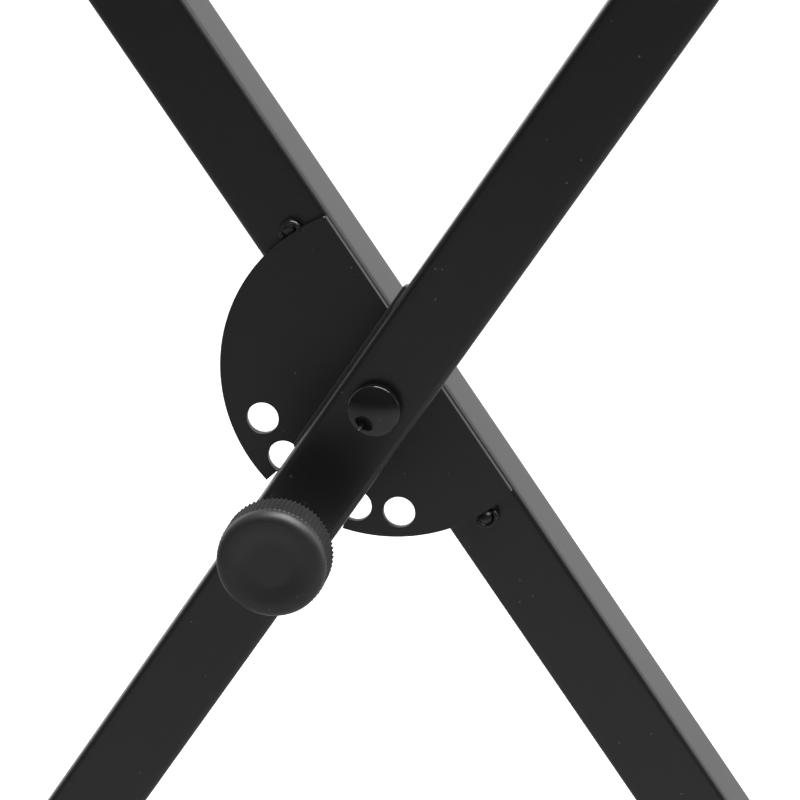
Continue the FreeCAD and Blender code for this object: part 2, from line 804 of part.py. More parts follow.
def main():
    os.makedirs("parts", exist_ok=True)
    rear_leg()
    front_leg()
    for name in sorted(nodes):
        shape = nodes[name]
        shape.exportStep("parts/" + name + ".step")
    faulty = [name for name in nodes if not nodes[name].isValid()]
    print(len(nodes), "nodes, faulty:", faulty)
    print("pivot height", round(pivot_height, 2), "arm height", round(arm_height, 2))
    print("sleeve length", round(sleeve_length, 2), "screw offset", round(screw_offset, 2))
    print("angles between the legs:", [round(seat_angle(number), 1) for number in range(-2, 3)])


main()
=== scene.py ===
# %% [markdown]
# # A folding keyboard stand
# Two square steel tubes cross at one bolt. The front tube carries a spring-loaded pin with a
# big ribbed knob, and the rear tube carries a D-shaped disc with seats for that pin. Each tube
# ends in cross bars with rubber caps. The working solids come in as a fixed frame, and every
# visible surface is dressed over them. All lengths are in metres.

# %% Load the frame
import json
import math

import bpy
import numpy as np
from mathutils import Matrix, Vector


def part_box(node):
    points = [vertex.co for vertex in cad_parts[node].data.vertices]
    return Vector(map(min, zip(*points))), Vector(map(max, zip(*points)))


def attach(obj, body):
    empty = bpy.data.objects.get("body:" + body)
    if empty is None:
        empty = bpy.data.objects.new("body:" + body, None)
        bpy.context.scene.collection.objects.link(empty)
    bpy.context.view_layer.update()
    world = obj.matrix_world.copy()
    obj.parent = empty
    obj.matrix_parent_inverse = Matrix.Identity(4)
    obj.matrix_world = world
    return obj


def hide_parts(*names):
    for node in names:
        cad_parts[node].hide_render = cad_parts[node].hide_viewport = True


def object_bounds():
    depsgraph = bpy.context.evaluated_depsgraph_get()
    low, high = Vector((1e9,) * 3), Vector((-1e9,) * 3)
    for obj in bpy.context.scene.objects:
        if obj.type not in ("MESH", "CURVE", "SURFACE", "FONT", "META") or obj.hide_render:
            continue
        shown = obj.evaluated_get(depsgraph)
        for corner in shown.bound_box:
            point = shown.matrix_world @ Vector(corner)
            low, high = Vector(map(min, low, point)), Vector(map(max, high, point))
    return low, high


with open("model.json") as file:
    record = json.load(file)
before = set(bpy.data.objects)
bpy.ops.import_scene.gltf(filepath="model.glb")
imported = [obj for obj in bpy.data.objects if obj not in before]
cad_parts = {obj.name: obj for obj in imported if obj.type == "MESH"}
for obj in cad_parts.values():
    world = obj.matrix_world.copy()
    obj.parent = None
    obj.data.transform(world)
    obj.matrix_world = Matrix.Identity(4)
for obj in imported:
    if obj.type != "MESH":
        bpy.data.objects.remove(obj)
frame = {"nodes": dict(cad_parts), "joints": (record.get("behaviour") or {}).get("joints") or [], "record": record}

cad_bounds = [list(corner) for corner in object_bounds()]

# %% [markdown]
# ## Where things are
# A leg is easiest to describe upright, with the pivot at zero: X across, Y from front to
# back, Z along the tube. Places typed straight into the leaning stand would need a sine and
# a cosine each, so two matrices do the leaning. The depths are read from the solids, so the
# dressing can't drift away from them.

# %% Driving sizes
MM = 0.001
PI = math.pi
leg_lean = math.radians(34.0)
tube_side = 30 * MM
half_side = tube_side / 2
tube_wall = 1.5 * MM
tube_corner = 1.5 * MM
soft_corner = 2.4 * MM
foot_reach = 500 * MM
arm_reach = 475 * MM
plate_thickness = 4 * MM
tube_end = half_side + plate_thickness
seat_circle = 51 * MM

joints = {joint["name"]: joint for joint in frame["joints"]}
pivot = Vector(joints["fold"]["pos_m"])
floor_height = cad_bounds[0][2]
rest_height = cad_bounds[1][2]


def depths(node):
    """The front and back depth of a solid: the lowest and highest Y of its box."""
    low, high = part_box(node)
    return low.y, high.y


leg_middle = {leg: sum(depths(leg + "_leg_tube")) / 2 for leg in ("front", "rear")}
print("middle depths:", {leg: round(y / MM, 2) for leg, y in leg_middle.items()})

# %% Two leaning frames
to_stand = {
    "front": Matrix.Translation(pivot) @ Matrix.Rotation(leg_lean, 4, "Y"),
    "rear": Matrix.Translation(pivot) @ Matrix.Rotation(-leg_lean, 4, "Y"),
}
half_turn = Matrix.Rotation(PI, 4, "Y")
face_front = Matrix.Rotation(PI / 2, 4, "X")
face_back = Matrix.Rotation(-PI / 2, 4, "X")
leg_ends = [
    (leg, end, reach, to_stand[leg] @ turned_over)
    for leg in to_stand
    for end, reach, turned_over in (("foot", foot_reach, half_turn), ("arm", arm_reach, Matrix()))
]


def shift(y=0.0, z=0.0):
    return Matrix.Translation((0, y, z))


def seated(place, depth, facing=face_front):
    """A turned piece's own frame: its foot at a depth, its Z towards the front or the back."""
    return place @ shift(y=depth) @ facing


print("leg ends:", [leg + " " + end for leg, end, reach, upright in leg_ends])

# %% [markdown]
# ## The camera
# The photograph looks down a little and a little from the right, through a long lens. Three
# angles would be hard to set apart, so the camera is given by its place and two directions.
# It stands where the legs' edges, the bolt and the knob all meet their places in the picture.

# %% Camera
lens_mm = 121.75
sensor_mm = 36.0
nearest = 0.01
camera_place = Vector((152.72, -934.27, 718.11)) * MM
camera_right = Vector((0.9877, 0.1563, -0.005))
camera_forward = Vector((-0.151, 0.9447, -0.2912))

scene = bpy.context.scene
camera_data = bpy.data.cameras.new("camera")
camera_data.lens = lens_mm
camera_data.sensor_width = sensor_mm
camera_data.clip_start = nearest
camera = bpy.data.objects.new("camera", camera_data)
scene.collection.objects.link(camera)
forward = camera_forward.normalized()
right = (camera_right - forward * camera_right.dot(forward)).normalized()
up = right.cross(forward)
turn = Matrix((right, up, -forward)).transposed()
camera.matrix_world = Matrix.Translation(camera_place) @ turn.to_4x4()
scene.camera = camera
print("camera looks down", round(math.degrees(math.asin(-forward.z)), 1), "degrees")

# %% [markdown]
# ## From a grid of points to a closed surface
# Each shape below is a grid: its rows run along the piece and its columns run round it. Many
# of them could be primitives with modifiers, but a grid gives each of them its exact size.
# One function turns any grid into a mesh. It needs no loop over points, because the corner
# numbers of all quads are worked out as whole arrays.


# %% Grid to mesh
def signed_volume(points, quads):
    """A sixth of the sum of triple products over the faces: positive when faces point out."""
    a, b, c, d = (points[quads[:, corner]] for corner in range(4))
    first = np.einsum("ij,ij->i", a, np.cross(b, c))
    second = np.einsum("ij,ij->i", a, np.cross(c, d))
    return (first.sum() + second.sum()) / 6


def finish_mesh(name, mesh, sharp):
    """Smooth faces with sharp edges past an angle, and an object at the origin."""
    mesh.polygons.foreach_set("use_smooth", np.ones(len(mesh.polygons), bool))
    mesh.set_sharp_from_angle(angle=math.radians(sharp))
    piece = bpy.data.objects.new(name, mesh)
    scene.collection.objects.link(piece)
    return piece


def skin(name, grid, ring=False, sharp=35.0):
    """A closed mesh from a (rows, columns, 3) grid whose columns go all the way round.

    With ring, the last row joins the first one, as on a tube with a wall. Otherwise one
    flat face closes each end.
    """
    rows, columns = grid.shape[:2]
    number = np.arange(rows * columns).reshape(rows, columns)
    here = number if ring else number[:-1]
    above = np.roll(number, -1, axis=0) if ring else number[1:]
    quads = np.stack([here, np.roll(here, -1, 1), np.roll(above, -1, 1), above], -1).reshape(-1, 4)
    points = grid.reshape(-1, 3)
    outward = signed_volume(points - points.mean(0), quads) > 0
    if not outward:
        quads = quads[:, ::-1]
    faces = quads.tolist()
    if not ring:
        low, high = number[0].tolist(), number[-1].tolist()
        faces += [low[::-1], high] if outward else [low, high[::-1]]
    mesh = bpy.data.meshes.new(name)
    mesh.from_pydata(points.tolist(), [], faces)
    return finish_mesh(name, mesh, sharp)


# %% [markdown]
# ## Rounded squares
# The tubes are square with rounded corners, and their rubbers are round with a square bore.
# Each outline could be lines and arcs. It is drawn by its radius at each angle instead, so
# that a square and a circle can share their columns and be rows of one grid.


# %% Rounded squares
def square_radius(angles, half, corner):
    """The distance from the middle to a rounded square's edge, at each angle.

    On a flat it is half / cos. On a corner it is where the ray leaves the corner's circle.
    """
    fold = np.abs((angles + PI / 4) % (PI / 2) - PI / 4)
    flat = half / np.cos(fold)
    core = half - corner
    under = np.maximum(corner ** 2 - core ** 2 * (np.cos(fold) - np.sin(fold)) ** 2, 0)
    bend = core * (np.cos(fold) + np.sin(fold)) + np.sqrt(under)
    return np.where(half * np.tan(fold) <= core, flat, bend)


def square_angles(half, corner, flats=10, bends=10):
    """Angles round a rounded square, close together on its corners."""
    edge = math.atan2(half - corner, half)
    flat = np.linspace(-edge, edge, flats, endpoint=False)
    bend = np.linspace(edge, PI / 2 - edge, bends, endpoint=False)
    quarter = np.concatenate([flat, bend])
    return np.concatenate([quarter + side * PI / 2 for side in range(4)])


print("columns round a tube:", len(square_angles(half_side, soft_corner)))

# %% [markdown]
# ## Profiles
# A turned or moulded piece is a profile carried round an axis. A Bevel modifier could round
# all its edges alike, but here each corner of the profile has its own radius and is swapped
# for a short arc. Those arcs matter: real edges are never quite sharp, and they catch the
# thin light lines that make a part look real.


# %% Profiles
nearly_straight = PI / 2 - 0.02
near_axis = 0.1 * MM


def rounded(corners, steps=5):
    """Swap each (across, along, radius) corner of an open profile for an arc of that radius.

    The arc starts and ends at radius / tan(half the corner's angle) from the corner, and
    its points turn evenly about its middle from the one end to the other.
    """
    line = [np.array(corners[0][:2], float)]
    for before, here, after in zip(corners, corners[1:], corners[2:]):
        radius = here[2]
        middle = np.array(here[:2], float)
        toward = np.array(before[:2], float) - middle
        away = np.array(after[:2], float) - middle
        toward /= np.linalg.norm(toward)
        away /= np.linalg.norm(away)
        half_angle = math.acos(np.clip(toward @ away, -1, 1)) / 2
        if radius == 0 or half_angle > nearly_straight:
            line.append(middle)
            continue
        back = radius / math.tan(half_angle)
        bisector = (toward + away) / np.linalg.norm(toward + away)
        centre = middle + bisector * radius / math.sin(half_angle)
        start = middle + toward * back - centre
        end = middle + away * back - centre
        total = math.acos(np.clip(start @ end / radius ** 2, -1, 1))
        for share in np.linspace(0, 1, steps):
            weight_start = math.sin((1 - share) * total) / math.sin(total)
            weight_end = math.sin(share * total) / math.sin(total)
            line.append(centre + start * weight_start + end * weight_end)
    line.append(np.array(corners[-1][:2], float))
    return np.array(line)


# %% Grids round an axis
def placed(grid, matrix):
    """Every point of a grid carried by a 4 x 4 matrix."""
    carry = np.array(matrix)
    return grid @ carry[:3, :3].T + carry[:3, 3]


def full_turn(count):
    """Angles once round, evenly spaced."""
    return np.linspace(0, 2 * PI, count, endpoint=False)


def round_z(radius, height, angles):
    """A row of points for each height: radius times cos, radius times sin, and the height."""
    return np.stack([radius * np.cos(angles), radius * np.sin(angles), height + 0 * angles], -1)


def turned(name, corners, matrix, around=96, ring=False):
    """A lathe piece: its profile's across is the radius, its along is the height on Z."""
    profile = rounded(corners)
    radius, height = profile[:, :1], profile[:, 1:]
    return skin(name, placed(round_z(radius, height, full_turn(around)), matrix), ring)


# %% [markdown]
# ## Dressing the tubes
# The legs and bars are one shape: a square tube with rounded corners and a wall. A bevelled
# box would do from outside, but the ends are open under their plates and caps. So the profile
# runs out along the outside, over a tiny edge, and back along the inside, and the grid closes
# on itself. The long faces are split into rows, so that none of them is a sliver.

# %% Square tube
end_edge = 0.2 * MM
least_corner = 0.3 * MM
leg_rows = 60


def square_tube(name, bottom, top, matrix, steps=24):
    """Offsets from the outer wall paired with heights, swept round the rounded square."""
    outside = np.linspace(bottom + end_edge, top - end_edge, steps)
    inside = outside[::-1]
    mouth = [end_edge, tube_wall - end_edge]
    offset = np.concatenate([0 * outside, mouth, 0 * inside + tube_wall, mouth[::-1]])
    height = np.concatenate([outside, [top, top], inside, [bottom, bottom]])
    angles = square_angles(half_side, soft_corner)
    radius = np.array([
        square_radius(angles, half_side - step, max(soft_corner - step, least_corner))
        for step in offset
    ])
    return skin(name, placed(round_z(radius, height[:, None], angles), matrix), ring=True)


# %% Legs and bars
pieces = {}


def add(piece, body, slot, *nodes):
    """Enter a piece in the shop's list: what it rides on, its finish and the solids it dresses."""
    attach(piece, body)
    if nodes:
        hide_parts(*nodes)
    pieces[piece.name] = slot
    return piece


for leg in to_stand:
    body = leg + "_frame"
    upright = to_stand[leg] @ shift(y=leg_middle[leg])
    bottom, top = tube_end - foot_reach, arm_reach - tube_end
    tube = square_tube(leg + "_leg", bottom, top, upright, leg_rows)
    add(tube, body, "coated_steel", leg + "_leg_tube")
    for end, reach in (("foot", -foot_reach), ("arm", arm_reach)):
        node = leg + "_" + end + "_bar"
        low, high = depths(node)
        along = to_stand[leg] @ shift(z=reach) @ face_back
        add(square_tube(node + "_tube", low, high, along), body, "coated_steel", node)
print("tubes:", len(pieces))

# %% [markdown]
# ## Flat plates
# The disc, the spacer and the end plates are cut from sheet. Holes are hard to put in a grid,
# and a Boolean leaves ragged faces. A flat curve takes an outline and its holes, and gives the
# sheet its thickness and a fine edge bevel in one go. It is made a mesh before it is moved
# into place.


# %% Plate from outlines
def arc(radius, start, end, centre=(0.0, 0.0), steps=24):
    """Points on a circle's arc, from one angle to another, in degrees."""
    angles = np.radians(np.linspace(start, end, steps))
    return np.stack([centre[0] + radius * np.cos(angles), centre[1] + radius * np.sin(angles)], -1)


def circle(radius, centre=(0.0, 0.0), steps=48):
    return arc(radius, 0, 360, centre, steps + 1)[:-1]


def round_rectangle(width, height, corner, steps=8):
    """Four quarter arcs, each about its own corner's middle."""
    parts = []
    for number, (side_x, side_y) in enumerate(((1, 1), (-1, 1), (-1, -1), (1, -1))):
        centre = (side_x * (width / 2 - corner), side_y * (height / 2 - corner))
        parts.append(arc(corner, 90 * number, 90 * number + 90, centre, steps))
    return np.concatenate(parts)


def plate(name, outlines, thickness, edge, matrix):
    """A sheet from Z 0 up to its thickness: the first outline is its rim, the others holes."""
    curve = bpy.data.curves.new(name, "CURVE")
    curve.dimensions = "2D"
    curve.fill_mode = "BOTH"
    curve.extrude = thickness / 2 - edge
    curve.bevel_depth = edge
    curve.bevel_resolution = 2
    curve.offset = -edge
    for outline in outlines:
        spline = curve.splines.new("POLY")
        spline.points.add(len(outline) - 1)
        flat = np.column_stack([outline, np.zeros(len(outline)), np.ones(len(outline))])
        spline.points.foreach_set("co", flat.ravel())
        spline.use_cyclic_u = True
    holder = bpy.data.objects.new(name, curve)
    scene.collection.objects.link(holder)
    solid = holder.evaluated_get(bpy.context.evaluated_depsgraph_get())
    mesh = bpy.data.meshes.new_from_object(solid)
    bpy.data.objects.remove(holder)
    mesh.transform(matrix @ shift(z=thickness / 2))
    mesh.name = name
    return finish_mesh(name, mesh, sharp=25.0)


# %% [markdown]
# ## The locking disc
# A D-shaped disc is welded to the rear tube. Four round seats and a middle seat that opens
# at the rim take the pin, one for each height of the stand. The rim is set back on both
# sides of the open seat, which shows as a small step beside the front leg. The outline could
# be traced point by point, but as a chain of arcs it follows a few named sizes.

# %% Disc sizes
disc_radius = 62.6 * MM
disc_rise = 2.3 * MM
disc_chord = 14.2 * MM
seat_radius = 6 * MM
recess_radius = 57.2 * MM
recess_half = 15.5
bolt_bore = 5.05 * MM
middle_seat = 2 * math.degrees(leg_lean)
seat_step = 18.5
sheet_edge = 0.2 * MM
rim_centre = (0.0, disc_rise)


# %% Points on the disc
def around_bolt(radius, angle):
    """A point round the bolt, its angle measured from straight down the leg, to the left."""
    radians = math.radians(angle)
    return np.array((-radius * math.sin(radians), -radius * math.cos(radians)))


def disc_arc(radius, start, end, steps):
    """An arc of the disc's outline, about the disc's own centre a little above the bolt."""
    return arc(radius, 270 - start, 270 - end, rim_centre, steps)


def rim_angle(point):
    """The angle of a point about the disc's own centre, measured as around the bolt."""
    return math.degrees(math.atan2(-point[0], disc_rise - point[1]))


def reach_circle(start, direction, radius):
    """Where a ray meets a circle about the disc's centre: the larger root of its quadratic."""
    offset = start - rim_centre
    half = direction @ offset
    return start + direction * (math.sqrt(half ** 2 - offset @ offset + radius ** 2) - half)


# %% Locking disc
chord_angle = math.degrees(math.acos(disc_chord / disc_radius))
outwards = around_bolt(1.0, middle_seat)
sideways = around_bolt(seat_radius, middle_seat - 90)
mouth_centre = outwards * seat_circle
mouth_low = reach_circle(sideways, outwards, recess_radius)
mouth_high = reach_circle(-sideways, outwards, recess_radius)
recess_start = rim_angle(mouth_centre) - recess_half
recess_end = rim_angle(mouth_centre) + recess_half
disc_outline = np.concatenate([
    disc_arc(disc_radius, chord_angle - 90, recess_start, 60),
    disc_arc(recess_radius, recess_start, rim_angle(mouth_low), 12),
    arc(seat_radius, 360 - middle_seat, 540 - middle_seat, mouth_centre),
    disc_arc(recess_radius, rim_angle(mouth_high), recess_end, 12),
    disc_arc(disc_radius, recess_end, 270 - chord_angle, 90),
])
seats = [
    circle(seat_radius, around_bolt(seat_circle, middle_seat + number * seat_step))
    for number in (-2, -1, 1, 2)
]
bolt_hole = circle(bolt_bore)
disc_front, disc_back = depths("locking_disc")
disc_place = seated(to_stand["rear"], disc_back)
disc_outlines = [disc_outline, bolt_hole] + seats
disc = plate("disc", disc_outlines, disc_back - disc_front, sheet_edge, disc_place)
add(disc, "rear_frame", "coated_steel", "locking_disc")
print("disc faces:", len(disc.data.polygons))

# %% [markdown]
# ## Spacer and end plates
# A slim plate keeps the front tube off the disc. It is a little wider than the tube, so its
# edge shows as a second light line along the leg. The plates that close the legs' ends carry
# the bars. All are rounded rectangles with round holes, so they share the disc's function.

# %% Spacer plate
spacer_width = 32.2 * MM
spacer_above = 34.5 * MM
spacer_below = 41.8 * MM
spacer_corner = 2 * MM
spacer_edge = 0.6 * MM
spacer_low, spacer_high = depths("spacer_plate")
spacer_outline = round_rectangle(spacer_width, spacer_above + spacer_below, spacer_corner)
spacer_outline = spacer_outline + [0, (spacer_above - spacer_below) / 2]
spacer_place = seated(to_stand["front"], spacer_high)
spacer_outlines = [spacer_outline, bolt_hole]
spacer = plate("spacer", spacer_outlines, spacer_high - spacer_low, spacer_edge, spacer_place)
add(spacer, "front_frame", "nylon", "spacer_plate")
print("spacer thickness:", round((spacer_high - spacer_low) / MM, 2), "mm")

# %% End plates
plate_length = 76 * MM
plate_corner = 3 * MM
plate_edge = 0.4 * MM
screw_offset = 27 * MM
screw_hole = 4.2 * MM
end_outlines = [round_rectangle(tube_side, plate_length, plate_corner)]
end_outlines += [circle(screw_hole, (0, side * screw_offset), 32) for side in (-1, 1)]
for leg, end, reach, upright in leg_ends:
    name = leg + "_" + end + "_plate"
    place = upright @ shift(y=leg_middle[leg], z=reach - tube_end)
    piece = plate(name + "_sheet", end_outlines, plate_thickness, plate_edge, place)
    add(piece, leg + "_frame", "coated_steel", name)
print("plates:", len([name for name in pieces if name.endswith("_sheet")]))

# %% [markdown]
# ## The pivot bolt and its stack
# The bolt's head is a low glossy dome on a thin washer, and a cap covers the nut behind. A
# ball cut by a plane would give the dome alone. One lathe profile gives head and shank at
# once, and the ball's own formula gives the dome's part of it.


# %% Domes
def dome(base_radius, height, steps=14):
    """Radius and height along a ball's cap, from its base almost to its top.

    The ball's radius is (base squared + height squared) / (2 height).
    """
    ball = (base_radius ** 2 + height ** 2) / (2 * height)
    widest = math.asin(base_radius / ball)
    angles = np.linspace(widest, 0.02, steps)
    return [(ball * math.sin(a), height - ball * (1 - math.cos(a)), 0) for a in angles]


def raised(profile, base):
    return [(radius, height + base, edge) for radius, height, edge in profile]


# %% Pivot bolt
head_radius = 9.35 * MM
head_rim = 3.2 * MM
head_height = 5.7 * MM
bolt_radius = 5 * MM
bolt_chamfer = 1 * MM
fillet = 0.2 * MM
rim_roll = 0.7 * MM
washer_low, washer_high = depths("pivot_head_washer")
axis_place = to_stand["rear"]
shank = depths("pivot_bolt")[1] - washer_low
dome_base = head_rim + 0.4 * MM
bolt = turned("bolt", [
    (near_axis, -shank, 0),
    (bolt_radius - bolt_chamfer, -shank, 0),
    (bolt_radius, -shank + bolt_chamfer, 0),
    (bolt_radius, -fillet, 0),
    (bolt_radius + fillet, 0, 0),
    (head_radius, 0, 0.25 * MM),
    (head_radius, head_rim + 0.3 * MM, rim_roll),
] + raised(dome(head_radius - 0.45 * MM, head_height - dome_base), dome_base),
    seated(axis_place, washer_low), 128)
add(bolt, "rear_frame", "gloss_black", "pivot_bolt")
print("bolt length:", round(shank / MM, 1), "mm")

# %% Head washer and nut cap
washer_bore = bolt_radius + 0.1 * MM
washer_radius = 8.6 * MM
washer_height = washer_high - washer_low
head_washer = turned("head_washer", [
    (washer_bore, 0, 0),
    (washer_radius, 0, 0.2 * MM),
    (washer_radius, washer_height, 0.2 * MM),
    (washer_bore, washer_height, 0),
], seated(axis_place, washer_high), ring=True)
add(head_washer, "rear_frame", "nylon", "pivot_head_washer")

cap_low, cap_high = depths("pivot_nut_cap")
cap_height = cap_high - cap_low
cap_radius = 11.6 * MM
cap_inside = 10 * MM
cap_side = 9.6 * MM
cap_dome = 5.6 * MM
bolt_room = 5.5 * MM
nut_room = 10.5 * MM
cap_roof = cap_height - 2.5 * MM
nut_cap = turned("nut_cap", [
    (near_axis, cap_roof, 0),
    (bolt_room, cap_roof, 0.5 * MM),
    (bolt_room, nut_room, 0.3 * MM),
    (cap_inside, nut_room, 0.5 * MM),
    (cap_inside, 0, 0.2 * MM),
    (cap_radius, 0, 0.3 * MM),
    (cap_radius, cap_side, 1.2 * MM),
] + raised(dome(cap_radius - 0.25 * MM, cap_dome), cap_height - cap_dome),
    seated(axis_place, cap_low, face_back))
add(nut_cap, "rear_frame", "nylon", "pivot_nut_cap")
print("nut cap height:", round(cap_height / MM, 1), "mm")

# %% [markdown]
# ## The knob
# The knob is moulded: a ring of fine straight ribs on its side, a smooth rounded brow and a
# shallow dish in front. Ribs could be an array of wedges, but their seams would show. Here
# they are a sine taken off the radius, and a mask along the profile fades them out at the
# brow, so ribs and brow are one skin.

# %% Knob sizes
knob_low, knob_high = depths("knob")
knob_height = knob_high - knob_low
knob_radius = 19.5 * MM
knob_ribs = 72
columns_per_rib = 10
rib_depth = 0.85 * MM
rib_top = 12.5 * MM
rib_fade = 0.4 * MM
rib_reach = 1.2 * MM
brow_radius = 3.5 * MM
dish_radius = 14.5 * MM
dish_depth = 1.4 * MM
pocket_radius = 16.5 * MM
pocket_depth = 10 * MM
boss_radius = 7.5 * MM
insert_radius = 5.5 * MM
insert_depth = 12 * MM


def dish_profile(steps=24):
    """A flat-bottomed dish: a smooth step, 3 s squared - 2 s cubed, down from its edge."""
    radius = np.linspace(dish_radius, near_axis, steps)
    share = np.clip((dish_radius - radius) / (0.5 * dish_radius), 0, 1)
    depth = dish_depth * share ** 2 * (3 - 2 * share)
    return [(r, knob_height - d, 0) for r, d in zip(radius, depth)]


# %% Knob
knob_profile = rounded([
    (near_axis, insert_depth, 0),
    (insert_radius, insert_depth, 0),
    (insert_radius, 0, 0.2 * MM),
    (boss_radius, 0, 0.3 * MM),
    (boss_radius, pocket_depth, 0.5 * MM),
    (pocket_radius, pocket_depth, 0.5 * MM),
    (pocket_radius, 0, 0.3 * MM),
    (knob_radius, 0, 0.5 * MM),
    (knob_radius, rib_top - 0.5 * MM, 0),
    (knob_radius - 0.05 * MM, rib_top - 0.15 * MM, 0),
    (knob_radius - 0.35 * MM, rib_top + 0.15 * MM, 0),
    (knob_radius - 0.3 * MM, knob_height, brow_radius),
] + dish_profile(), 8)
rib_angles = full_turn(knob_ribs * columns_per_rib)
side_radius, side_height = knob_profile[:, :1], knob_profile[:, 1:]
on_side = side_radius > knob_radius - rib_reach
fade = np.clip((rib_top - side_height) / rib_fade, 0, 1) * on_side
valley = rib_depth * np.abs(np.sin(knob_ribs * rib_angles / 2)) ** 0.7
knob_grid = round_z(side_radius - fade * valley, side_height, rib_angles)
pin_axis = to_stand["front"] @ shift(z=-seat_circle)
knob = skin("knob_grip", placed(knob_grid, seated(pin_axis, knob_high)), sharp=50.0)
add(knob, "lock_knob", "knob_plastic", "knob")
print("knob triangles:", 2 * len(knob.data.polygons))

# %% [markdown]
# ## The locking pin
# Behind the knob a slim bright stem runs into the leg. Its thick end, which drops into the
# disc's seats, is inside the leg here, drawn just clear of the disc. Stacked cylinders would
# leave faces inside each other, so one lathe profile takes all its steps.

# %% Pin
stem_radius = 4 * MM
pin_radius = 5.7 * MM
pin_thick = 18.8 * MM
nose_chamfer = 1.2 * MM
stem_chamfer = 0.8 * MM
pin_low, pin_high = depths("lock_pin")
pin_length = pin_high - pin_low
pin = turned("pin", [
    (near_axis, 0, 0),
    (pin_radius - nose_chamfer, 0, 0.2 * MM),
    (pin_radius, nose_chamfer, 0.2 * MM),
    (pin_radius, pin_thick, 0.2 * MM),
    (stem_radius, pin_thick, 0.1 * MM),
    (stem_radius, pin_length - stem_chamfer, 0),
    (stem_radius - stem_chamfer, pin_length, 0),
    (near_axis, pin_length, 0),
], seated(pin_axis, pin_high), 64)
add(pin, "lock_knob", "bare_steel", "lock_pin")
print("pin length:", round(pin_length / MM, 1), "mm")

# %% [markdown]
# ## Screws, washers and nuts
# Button-head screws with lock nuts hold the bars. Each head could be cut with a hexagonal
# cutter, but a hexagon is also a circle whose radius grows towards its corners. So one lathe
# makes heads, sockets, washers and nuts. Its rows are written in millimetres.


# %% Hexagonal lathe
def hexed(name, rows, matrix, around=96, ring=False):
    """A lathe piece that is hexagonal in places.

    Each row is (flat, limit, height). Its radius is flat / cos(angle from the nearest
    flat's middle), but no more than limit, so it is round where flat equals limit.
    """
    flat, limit, height = (np.array(rows)[:, [column]] * MM for column in range(3))
    angles = full_turn(around)
    fold = np.abs((angles + PI / 6) % (PI / 3) - PI / 6)
    radius = np.minimum(flat / np.cos(fold), limit)
    return skin(name, placed(round_z(radius, height, angles), matrix), ring, sharp=30.0)


def round_rows(corners):
    return [(radius, radius, height) for radius, height in rounded(corners, 4)]


def washer_rows(bore, radius, height, edge):
    return round_rows([(bore, 0, 0), (radius, 0, edge), (radius, height, edge), (bore, height, 0)])


def nut_rows(bore, height):
    """A nut's rows from its bore's foot, over six chamfered flats, to its top edge."""
    return [(bore, bore, 0), (6.5, 6.7, 0), (6.5, 7.5, 0.5), (6.5, 7.5, height - 0.5),
            (6.5, 6.7, height)]


# %% Screws, washers and nuts of the bars
shank_end = -45.6
shank_radius = 4.0
thread_depth = 0.3
half_pitch = 0.6
washer_thick = 1.6
button_radius = 7.0
button_crown = 3.6
button_side = 0.8
threads = [
    (shank_radius - thread_depth * (number % 2), half_pitch * number + shank_end + 0.8, 0)
    for number in range(10, -1, -1)
]
crown = [
    (radius, height + button_side, 0)
    for radius, height, edge in dome(button_radius, button_crown)[::-1] if radius > 3.4
]
socket = [(0.1, 0.1, 2.0), (2.5, 2.9, 2.0), (2.5, 2.9, 3.65)]
under_head = [(button_radius, 0, 0.2), (4.2, 0, 0), (shank_radius, -0.2, 0)]
screw_rows = socket + round_rows(
    [(3.15, 3.82, 0)] + crown + under_head + threads + [(3.3, shank_end, 0), (0.1, shank_end, 0)])
lock_collar = round_rows([(5.95, 6.0, 0), (5.9, 6.1, 0), (5.9, 8.0, 0.8), (4.1, 8.0, 0)])
for leg, end, reach, upright in leg_ends:
    for number, side in enumerate((-1, 1)):
        middle = upright @ shift(y=leg_middle[leg] + side * screw_offset, z=reach)
        washer_seat = middle @ shift(z=half_side)
        head_seat = washer_seat @ shift(z=washer_thick * MM)
        nut_seat = middle @ shift(z=-tube_end) @ half_turn
        name = "_".join((leg, end, str(number)))
        nodes = leg + "_" + end
        screw = hexed(name + "_screw", screw_rows, head_seat)
        washer = hexed(name + "_washer", washer_rows(4.2, 8.0, washer_thick, 0.25), washer_seat,
                       ring=True)
        nut = hexed(name + "_nut", nut_rows(4.1, 6.0) + lock_collar, nut_seat, ring=True)
        add(screw, leg + "_frame", "zinc_black", nodes + "_screws")
        add(washer, leg + "_frame", "zinc_black", nodes + "_washers")
        add(nut, leg + "_frame", "zinc_black", nodes + "_nuts")
print("pieces so far:", len(pieces))

# %% Pivot washer, jam nut and pin guide
pivot_washer_place = seated(axis_place, depths("pivot_nut_washer")[0], face_back)
pivot_washer_rows = washer_rows(5.05, 10.5, 2.0, 0.3)
pivot_washer = hexed("pivot_washer", pivot_washer_rows, pivot_washer_place, ring=True)
add(pivot_washer, "rear_frame", "zinc_black", "pivot_nut_washer")

jam_rows = nut_rows(4.02, 4.0) + [(4.02, 4.02, 4.0)]
jam_nut = hexed("jam_nut", jam_rows, seated(pin_axis, depths("knob_jam_nut")[1]), ring=True)
add(jam_nut, "lock_knob", "zinc_black", "knob_jam_nut")

guide_rows = round_rows([(4.05, 0, 0), (6.25, 0, 0), (6.25, 3.56, 0.05), (4.05, 3.56, 0.3)])
guide_place = seated(pin_axis, depths("pin_front_guide")[1])
guide = hexed("front_guide", guide_rows, guide_place, ring=True)
add(guide, "front_frame", "coated_steel", "pin_front_guide")
print("pieces so far:", len(pieces))

